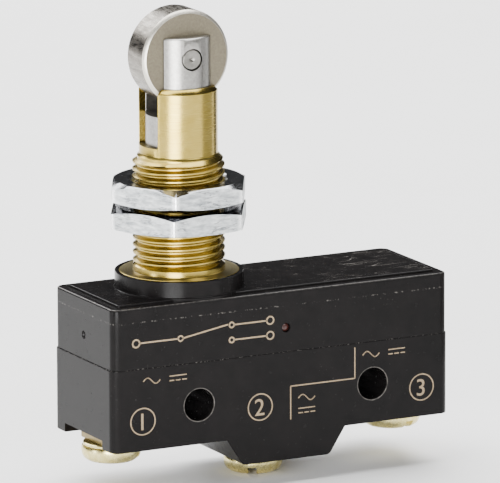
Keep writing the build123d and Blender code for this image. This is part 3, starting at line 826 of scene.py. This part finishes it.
def cover_moulding():
    """The cover: rim, raised plate, mould line, dimples and the collar round the bushing."""
    x = (cover_low.x, cover_high.x)
    y = (cover_low.y, cover_high.y)
    piece = box_between("cover_moulding", x, y, (PARTING, RIM_TOP))
    rounded_edges(piece, lambda e: along(e, 2), CORNER_RADIUS, 8)
    edit(piece)
    for z in (MOULD_LINE - MOULD_RIDGE, MOULD_LINE, MOULD_LINE + MOULD_RIDGE):
        bpy.ops.mesh.select_all(action="SELECT")
        bpy.ops.mesh.bisect(plane_co=(0, 0, z * MM), plane_no=(0, 0, 1))
    pick(piece, "verts", lambda v: near(v.co.z / MM, MOULD_LINE))
    bpy.ops.transform.shrink_fatten(value=-MOULD_RIDGE * MM)
    done()
    rounded_edges(piece, lambda e: at_height(e, RIM_TOP), RIM_ROUND, 4)
    rounded_edges(piece, lambda e: at_height(e, PARTING), EDGE_BREAK / 2, 2)
    plate = box_between("plate", (x[0] + PLATE_INSET, x[1] - PLATE_INSET),
                        (y[0] + PLATE_INSET, y[1] - PLATE_INSET), (RIM_TOP - 0.4, PLATE_TOP))
    rounded_edges(plate, lambda e: along(e, 2), PLATE_CORNER, 4)
    rounded_edges(plate, lambda e: at_height(e, PLATE_TOP), EDGE_BREAK, 3)
    cut(piece, plate, operation="UNION")
    cut(piece, moulded_collar(), operation="UNION")
    cavity_x = (x[0] + WALL_END, x[1] - WALL_END)
    cavity_y = (y[0] + WALL_SIDE, y[1] - WALL_SIDE)
    cut(piece, box_between("cavity", cavity_x, cavity_y, (PARTING - SPARE, ROOF_BOTTOM)))
    cut(piece, rod("button_hole", BUTTON_HOLE_RADIUS, ROOF_BOTTOM - SPARE, SPARE))
    cut(piece, cross_rod("pinhole", PINHOLE_RADIUS, BEAD_DEPTH, BOSS_CENTRE, DIMPLE_Z, y=y[0],
                         segments=32))
    for end in x:
        dimple = added("dimple", "torus", major_radius=DIMPLE_RING, minor_radius=DIMPLE_GROOVE,
                       major_segments=32, minor_segments=12, location=(end, 0, DIMPLE_Z),
                       rotation=(0, math.pi / 2, 0))
        settle(dimple)
        cut(piece, dimple)
    tidy_normals(piece)
    return finish_piece(piece, PHENOLIC, "case", "phenolic", "upper_cover")


# --- Bushing and nuts ---
def brass_bushing():
    """The bushing: flange, plain land, thread, and the sleeve with its two roller slots."""
    top = bushing_high.z
    piece = turned("brass_bushing", [
        (COUNTERBORE_RADIUS, PLATE_TOP), (FLANGE_RADIUS, PLATE_TOP), (FLANGE_RADIUS, -0.07),
        (FLANGE_RADIUS - 0.07, 0.0), (THREAD_RADIUS + 0.15, 0.0), (THREAD_RADIUS + 0.03, 0.04),
        (THREAD_RADIUS, 0.16), (THREAD_RADIUS, THREAD_BOTTOM), (THREAD_ROOT, THREAD_BOTTOM + 0.5),
        (THREAD_ROOT, THREAD_TOP - 0.25), (SLEEVE_RADIUS + 0.05, THREAD_TOP),
        (SLEEVE_RADIUS, THREAD_TOP + 0.15), (SLEEVE_RADIUS, top - 0.62),
        (SLEEVE_RADIUS - 0.04, top - 0.55), (SLEEVE_RADIUS - 0.46, top - 0.04),
        (SLEEVE_RADIUS - 0.52, top), (BORE_RADIUS + 0.08, top), (BORE_RADIUS, top - 0.1),
        (BORE_RADIUS, PLUNGER_STOP), (COUNTERBORE_RADIUS, PLUNGER_STOP),
        (COUNTERBORE_RADIUS, PLATE_TOP)], 128)
    reach = 2 * SLEEVE_RADIUS
    cut(piece, box_between("slot", (-reach, reach), (-SLOT_HALF, SLOT_HALF),
                           (SLOT_BOTTOM, top + SPARE)))
    tidy_normals(piece)
    rounded_edges(piece, lambda e: middle(e).z > SLOT_BOTTOM - 0.01
                  and near(abs(middle(e).y), SLOT_HALF) and folded(e), 0.06, 2)
    joined(piece, thread_ridge("ridge", THREAD_ROOT, THREAD_RADIUS, THREAD_PITCH,
                               THREAD_BOTTOM + 0.2, THREAD_TOP))
    return finish_piece(piece, BRASS, "case", "brass", "threaded_bushing", angle=28)


def hexagon_nut(node, name, bearing, top_chamfer, bottom_chamfer):
    """A thin nut: a hexagon bar crossed with a turned blank that gives it its chamfers."""
    low, high = corner(node)
    bottom, top = low.z, high.z
    bar = added(name, "cylinder", vertices=6, radius=NUT_CORNER, depth=top - bottom,
                location=(0, 0, (bottom + top) / 2))
    settle(bar)
    swung(bar, "Z", -math.radians(bearing - 90))
    rounded_edges(bar, lambda e: along(e, 2), 0.16, 3)
    mouth = 0.45
    blank = turned("blank", [
        (NUT_BORE, bottom + mouth), (NUT_MOUTH, bottom), (NUT_FACE, bottom),
        (NUT_CORNER + 0.1, bottom + bottom_chamfer), (NUT_CORNER + 0.1, top - top_chamfer),
        (NUT_FACE, top), (NUT_MOUTH, top), (NUT_BORE, top - mouth),
        (NUT_BORE, bottom + mouth)], 128)
    cut(bar, blank, operation="INTERSECT")
    tidy_normals(bar)
    broken_edges(bar, 0.05, 20)
    return finish_piece(bar, ZINC, node, "zinc_plate", node, angle=18)


# --- Plunger, roller and pin ---
def forked_plunger():
    """The plunger: a turned bar with a stop ring and a spring bore, milled across for the roller
    and drilled for its pin."""
    low, high = plunger_low.z, plunger_high.z
    centre = 0.6
    piece = turned("forked_plunger", [
        (SPRING_BORE, low + 1.0), (3.3, low + 1.0), (3.3, low), (STOP_RADIUS, low),
        (STOP_RADIUS, low + 1.0), (PLUNGER_RADIUS, low + 1.0), (PLUNGER_RADIUS, high - 0.25),
        (PLUNGER_RADIUS - 0.06, high - 0.1), (PLUNGER_RADIUS - 0.2, high), (centre, high),
        (centre, SPRING_BORE_TOP), (SPRING_BORE, SPRING_BORE_TOP), (SPRING_BORE, low + 1.0)], 128)
    cut(piece, rod("middle", centre + 0.2, SPRING_BORE_TOP + 0.2, high + 0.5), operation="UNION")
    reach = 2 * PLUNGER_RADIUS
    cut(piece, box_between("fork", (-reach, reach), (-FORK_HALF_GAP, FORK_HALF_GAP),
                           (FORK_FLOOR, high + SPARE)))
    cut(piece, cross_rod("pin_hole", PIN_RADIUS + 0.1, reach, 0, ROLLER_Z))
    tidy_normals(piece)
    rounded_edges(piece, lambda e: middle(e).z > FORK_FLOOR - 0.01 and folded(e), 0.05, 2)
    return finish_piece(piece, STEEL, "plunger", "steel", "roller_plunger", angle=28)


def steel_roller():
    """The roller: a flat matt face, bevelled rims and a ground tread."""
    half = (roller_high.y - roller_low.y) / 2
    bore = PIN_RADIUS + 0.02
    rim = [(bore, half - 0.1), (bore + 0.12, half), (ROLLER_RADIUS - 0.52, half),
           (ROLLER_RADIUS - 0.44, half - 0.03), (ROLLER_RADIUS - 0.06, half - 0.4),
           (ROLLER_RADIUS, half - 0.52)]
    profile = [(radius, -z) for radius, z in rim] + rim[::-1] + [(bore, 0.1 - half)]
    piece = laid_over(turned("steel_roller", profile, 160), ROLLER_Z)
    return finish_piece(piece, SINTERED, "roller", "roller_steel", "roller")


def dimpled_pin():
    """The roller's axle, with a broken edge and a centre dimple at each end."""
    half = (pin_high.y - pin_low.y) / 2 - 0.06
    profile = [(0.06, -half + 0.3), (0.3, -half + 0.04), (0.4, -half), (PIN_RADIUS - 0.14, -half),
               (PIN_RADIUS - 0.04, -half + 0.1), (PIN_RADIUS, -half + 0.3)]
    profile += [(radius, -z) for radius, z in reversed(profile)]
    piece = laid_over(turned("dimpled_pin", profile), ROLLER_Z)
    return finish_piece(piece, PIN_STEEL, "plunger", "steel", "roller_pin")


def coil_spring():
    """The overtravel spring: a coil wound by the screw modifier."""
    low, high = corner("overtravel_spring")
    wire = (high.x - low.x) / 2 - COIL_RADIUS
    height = high.z - low.z - 2 * wire
    turns = height / COIL_PITCH
    piece = added("coil_spring", "circle", vertices=12, radius=wire,
                  location=(COIL_RADIUS, 0, low.z + wire), rotation=(math.pi / 2, 0, 0))
    settle(piece)
    steps = round(36 * turns)
    modified(piece, "SCREW", axis="Z", angle=math.tau * turns, screw_offset=height * MM,
             iterations=1, steps=steps, render_steps=steps)
    capped(piece)
    finish_piece(piece, SPRING, "plunger", "spring_steel", "overtravel_spring", angle=50)
    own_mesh(piece)


# --- Terminals and screws ---
def pan_head_screw():
    """A slotted pan-head screw standing on its head at the origin, with a rolled thread."""
    low, high = corner("common_screw")
    radius = (high.x - low.x) / 2
    length = high.z - low.z
    piece = turned("pan_screw", [
        (1.2, 0.0), (radius - 1.3, 0.04), (radius - 0.72, 0.2), (radius - 0.28, 0.52),
        (radius - 0.06, 0.95), (radius, 1.35), (radius, HEAD_HEIGHT - 0.2),
        (radius - 0.1, HEAD_HEIGHT), (SHANK_RADIUS + 0.15, HEAD_HEIGHT),
        (SHANK_RADIUS, HEAD_HEIGHT + 0.2), (SHANK_RADIUS, length - 0.3), (1.3, length)])
    cut(piece, box_between("slot", (-2 * radius, 2 * radius), (-DRIVE_HALF, DRIVE_HALF),
                           (-SPARE, DRIVE_DEPTH)))
    tidy_normals(piece)
    rounded_edges(piece, lambda e: middle(e).z < DRIVE_DEPTH - 0.01 and folded(e, 0.7), 0.07, 2)
    return joined(piece, thread_ridge("ridge", SHANK_RADIUS, SCREW_THREAD_RADIUS, SCREW_PITCH,
                                      HEAD_HEIGHT + 0.4, length, 48))


def cup_washer():
    """The washer held under a terminal screw's head, at the origin, with softened rims."""
    low, high = corner("common_washer")
    radius = (high.x - low.x) / 2
    thick = high.z - low.z
    return turned("cup_washer", [
        (WASHER_BORE, 0.08), (WASHER_BORE + 0.1, 0.0), (radius - 0.15, 0.0), (radius, 0.12),
        (radius, thick - 0.1), (radius - 0.1, thick), (WASHER_BORE + 0.1, thick),
        (WASHER_BORE, thick - 0.08), (WASHER_BORE, 0.08)])


def copied(master, name, node, turn=0.0):
    """A copy of a master with its own mesh, turned by some degrees and stood at a node."""
    low, high = corner(node)
    piece = master.copy()
    piece.data = master.data.copy()
    piece.name = name
    bpy.context.scene.collection.objects.link(piece)
    swung(piece, "Z", -math.radians(turn))
    shifted(piece, x=(low.x + high.x) / 2, z=low.z)
    return piece


def screws_and_washers():
    """The three terminal screws and their washers, each slot turned its own way."""
    screw, washer = pan_head_screw(), cup_washer()
    for name in SCREWS:
        body = f"{name}_screw"
        placed = copied(screw, f"{name}_pan_screw", body, SLOT_TURN[name])
        finish_piece(placed, SCREW_BRASS, body, "screw_brass", body)
        placed = copied(washer, f"{name}_cup_washer", f"{name}_washer")
        finish_piece(placed, SCREW_BRASS, body, "screw_brass", f"{name}_washer")
    bpy.data.objects.remove(screw)
    bpy.data.objects.remove(washer)


def stamped_terminal(name):
    """A terminal strip with its stamped edges rounded."""
    piece = from_node(f"{name}_terminal", f"{name}_terminal_strip", 0.08)
    return finish_piece(piece, SHADED_SHEET_BRASS, "case", "terminal_brass", f"{name}_terminal")


# --- Printing and small moulded details ---
def ink_bar(start, end, width=RULE_WIDTH):
    """A printed line between two (x, z) points, as a thin bar lying on the front face."""
    run = Vector(end) - Vector(start)
    bar = added("ink_bar", "cube", size=1.0)
    bar.scale = (run.length + width * 0.6, INK_DEPTH, width)
    settle(bar)
    swung(bar, "Y", math.atan2(run.y, run.x))
    shifted(bar, (start[0] + end[0]) / 2, PRINT_Y, (start[1] + end[1]) / 2)
    rounded_edges(bar, lambda e: along(e, 1), width * 0.3, 2)
    return bar


def ink_ring(x, z, radius, width=RULE_WIDTH):
    """A printed ring."""
    inner, outer, half = radius - width / 2, radius + width / 2, INK_DEPTH / 2
    hoop = turned("ink_ring", [(inner, -half), (outer, -half), (outer, half), (inner, half),
                               (inner, -half)], 40)
    laid_over(hoop, z)
    shifted(hoop, x, PRINT_Y)
    return hoop


def ink_numeral(digit, x, z, size):
    """A printed terminal number."""
    bpy.ops.object.text_add(rotation=(math.pi / 2, 0, 0))
    figure = bpy.context.object
    figure.data.body = digit
    figure.data.size = size * MM
    figure.data.extrude = INK_DEPTH / 2 * MM
    figure.location = Vector((x, PRINT_Y, z)) * MM
    bpy.ops.object.convert(target="MESH")
    figure = bpy.context.object
    settle(figure)
    tidy_normals(figure)
    return figure


def ink_wave(x, z, length, height):
    """A printed wave, the common sign for alternating current."""
    steps = 10
    points = [(x + length * k / steps, z + height * math.sin(math.tau * k / steps))
              for k in range(steps + 1)]
    return [ink_bar(a, b, SIGN_WIDTH) for a, b in zip(points, points[1:])]


def ink_dashes(x, z, length, gap):
    """A printed rule over three dashes, the common sign for direct current."""
    step, dash = 0.9, 0.6
    return [ink_bar((x, z + gap), (x + length, z + gap), SIGN_WIDTH)] + [
        ink_bar((x + step * k, z - gap), (x + step * k + dash, z - gap), SIGN_WIDTH)
        for k in range(3)]


def printed(name, pieces, face):
    """Joins printed marks into one piece, laid on a front face at a given depth."""
    first, *others = pieces
    for other in others:
        joined(first, other)
    shifted(first, y=face - PRINT_Y)
    first.name = name
    first.data.name = name
    return finish_piece(first, INK, "case", None)


def changeover_diagram():
    """The contact diagram on the cover: a common arm between two fixed contacts."""
    low, mid, high = -8.1, -7.1, -6.1
    end, contact = 0.5, 0.34
    pieces = [ink_ring(x, z, radius, DIAGRAM_WIDTH) for x, z, radius in (
        (-10.6, mid, end), (-4.2, mid, contact), (3.2, high, contact), (3.2, low, contact),
        (8.8, high, end), (8.8, low, end))]
    pieces += [ink_bar(start, stop, DIAGRAM_WIDTH) for start, stop in (
        ((-10.1, mid), (-4.6, mid)), ((-3.9, mid), (2.6, high + 0.1)), ((3.6, high), (8.3, high)),
        ((3.6, low), (8.3, low)))]
    return printed("contact_diagram", pieces, cover_low.y)


def rating_panel():
    """Rules, current signs and terminal numbers on the lower half."""
    left, right, bar_z = 11.75, 21.2, -15.2
    pieces = [ink_bar((right, -11.1), (right, bar_z)), ink_bar((left, bar_z), (right, bar_z)),
              ink_bar((left, bar_z), (left, -19.6))]
    sign_length, sign_rise, dash_gap = 2.4, 0.42, 0.3
    for x, z in ((-9.6, -12.2), (22.4, -12.2), (12.9, -16.9)):
        pieces += ink_wave(x, z, sign_length, sign_rise)
    for x, z in ((-5.8, -12.2), (26.2, -12.2), (12.9, -18.6)):
        pieces += ink_dashes(x, z, sign_length, dash_gap)
    numeral_size, numeral_z, ring_radius = 3.2, -18.6, 1.75
    for digit, x in (("1", -10.6), ("2", 6.4), ("3", 30.2)):
        pieces.append(ink_numeral(digit, x, numeral_z, numeral_size))
        pieces.append(ink_ring(x + 0.9, numeral_z + 1.12, ring_radius))
    return printed("rating_panel", pieces, case_low.y)


def pinhole_bead():
    """The dark bead of resin at the bottom of the small hole in the front."""
    y = cover_low.y + BEAD_DEPTH
    bead = added("pinhole_bead", "uv_sphere", segments=32, ring_count=16,
                 radius=PINHOLE_RADIUS - 0.02, location=(BOSS_CENTRE, y, DIMPLE_Z))
    settle(bead)
    edit(bead)
    bpy.ops.transform.resize(value=(1, 0.45, 1), center_override=(0, y * MM, 0))
    done()
    return finish_piece(bead, RESIN, "case", "button_resin", angle=60)


case_moulding()
cover_moulding()
changeover_diagram()
rating_panel()
pinhole_bead()
brass_bushing()
hexagon_nut("lower_nut", "lower_hexagon_nut", -120.3, 0.58, 0.32)
hexagon_nut("upper_nut", "upper_hexagon_nut", -118.8, 0.75, 0.56)
forked_plunger()
steel_roller()
dimpled_pin()
coil_spring()
screws_and_washers()
for screw in SCREWS:
    stamped_terminal(screw)

# The pieces inside show their CAD solids with their own metals.
INNER = {
    "push_rod": SPRING, "rod_retainer": SPRING, "pushbutton": RESIN,
    "snap_spring": COPPER, "moving_contact": SILVER, "normally_open_contact": SILVER,
    "normally_closed_contact": SILVER, "common_anchor": BRASS, "anchor_rivet": BRASS,
}
for inner_node, metal in INNER.items():
    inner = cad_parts[inner_node]
    inner.data.materials.clear()
    inner.data.materials.append(metal)


# --- Floor, light and camera ---
FLOOR_Z = cad_low.z / MM
FLOOR_HALF = 2500.0


def pale_floor():
    """A wide pale paper floor, just under the middle screw's head."""
    floor = added("floor", "plane", size=2 * FLOOR_HALF, location=(0, 0, FLOOR_Z - 0.02))
    settle(floor)
    paper = new_material("pale_paper", Roughness=0.95, IOR=1.3)
    dress(paper, Base_Color=mottled(paper, 40.0, "#F9F9F8", "#FCFCFC"))
    floor.data.materials.append(paper)


def dim_room():
    """The dim room round the lamps, which dark glossy faces mirror."""
    world = bpy.context.scene.world or bpy.data.worlds.new("room")
    bpy.context.scene.world = world
    world.use_nodes = True
    room = world.node_tree.nodes["Background"].inputs
    room["Color"].default_value = linear("#3D3D3E")
    room["Strength"].default_value = 1.0


def towards(bearing, height):
    """The direction at a bearing from the front and a height, both in degrees."""
    a, e = math.radians(bearing), math.radians(height)
    return Vector((math.sin(a) * math.cos(e), -math.cos(a) * math.cos(e), math.sin(e)))


def softbox(name, bearing, height, distance, size, power, aim=(5, 0, 0), spread=180):
    """A soft lamp at a bearing, height and distance from the point it is aimed at; a spread below
    180 degrees is a grid that keeps its light off the floor."""
    away = towards(bearing, height)
    light = bpy.data.lights.new(name, "AREA")
    light.shape = "RECTANGLE"
    light.size, light.size_y = size[0] * MM, size[1] * MM
    light.energy = power
    light.spread = math.radians(spread)
    holder = bpy.data.objects.new(name, light)
    bpy.context.scene.collection.objects.link(holder)
    holder.location = (Vector(aim) + away * distance) * MM
    holder.rotation_euler = (-away).to_track_quat("-Z", "Y").to_euler()
    holder.visible_camera = False


def card_beside(name, bearing, distance, width, height, colour):
    """A matt card that stands out of view on the floor and darkens one side's reflections."""
    card = added(name, "plane", size=1.0)
    card.scale = (width, height, 1.0)
    settle(card)
    swung(card, "X", -math.pi / 2)
    swung(card, "Z", -math.radians(bearing))
    foot = towards(bearing, 0) * distance
    shifted(card, foot.x, foot.y, FLOOR_Z + height / 2)
    card.data.materials.append(new_material(name, Base_Color=colour, Roughness=0.9, IOR=1.3))
    card.visible_camera = False
    card.visible_diffuse = False
    card.visible_shadow = False


def camera_at(target, bearing, height, roll, distance, lens):
    """The camera, looking at a point from a bearing, height and distance."""
    back = towards(bearing, height)
    data = bpy.data.cameras.new("camera")
    data.lens = lens
    data.clip_start = 0.01
    data.clip_end = 20.0
    holder = bpy.data.objects.new("camera", data)
    bpy.context.scene.collection.objects.link(holder)
    holder.location = (Vector(target) + back * distance) * MM
    upright = (-back).to_track_quat("-Z", "Y")
    holder.rotation_mode = "QUATERNION"
    holder.rotation_quaternion = Quaternion(back, math.radians(roll)) @ upright
    bpy.context.scene.camera = holder


pale_floor()
dim_room()
softbox("overhead", 178, 72, 1000, (1500, 1300), 46.0)
softbox("behind", -166, 27, 1100, (800, 260), 5.5)
softbox("front_left", -37, -2, 150, (84, 110), 0.085, aim=(0, 0, 22), spread=70)
softbox("left", -92, 0, 320, (60, 110), 0.22, aim=(0, 0, 8))
softbox("front_right", 20, 28, 900, (600, 300), 4.0)
card_beside("black_card", 107, 92, 34, 100, "#141414")
card_beside("grey_card", 68, 94, 74, 100, "#989898")
camera_at((10.5, 0.25, 2.45), -27.2, 12.35, -0.2, 1000.0, 552.0)
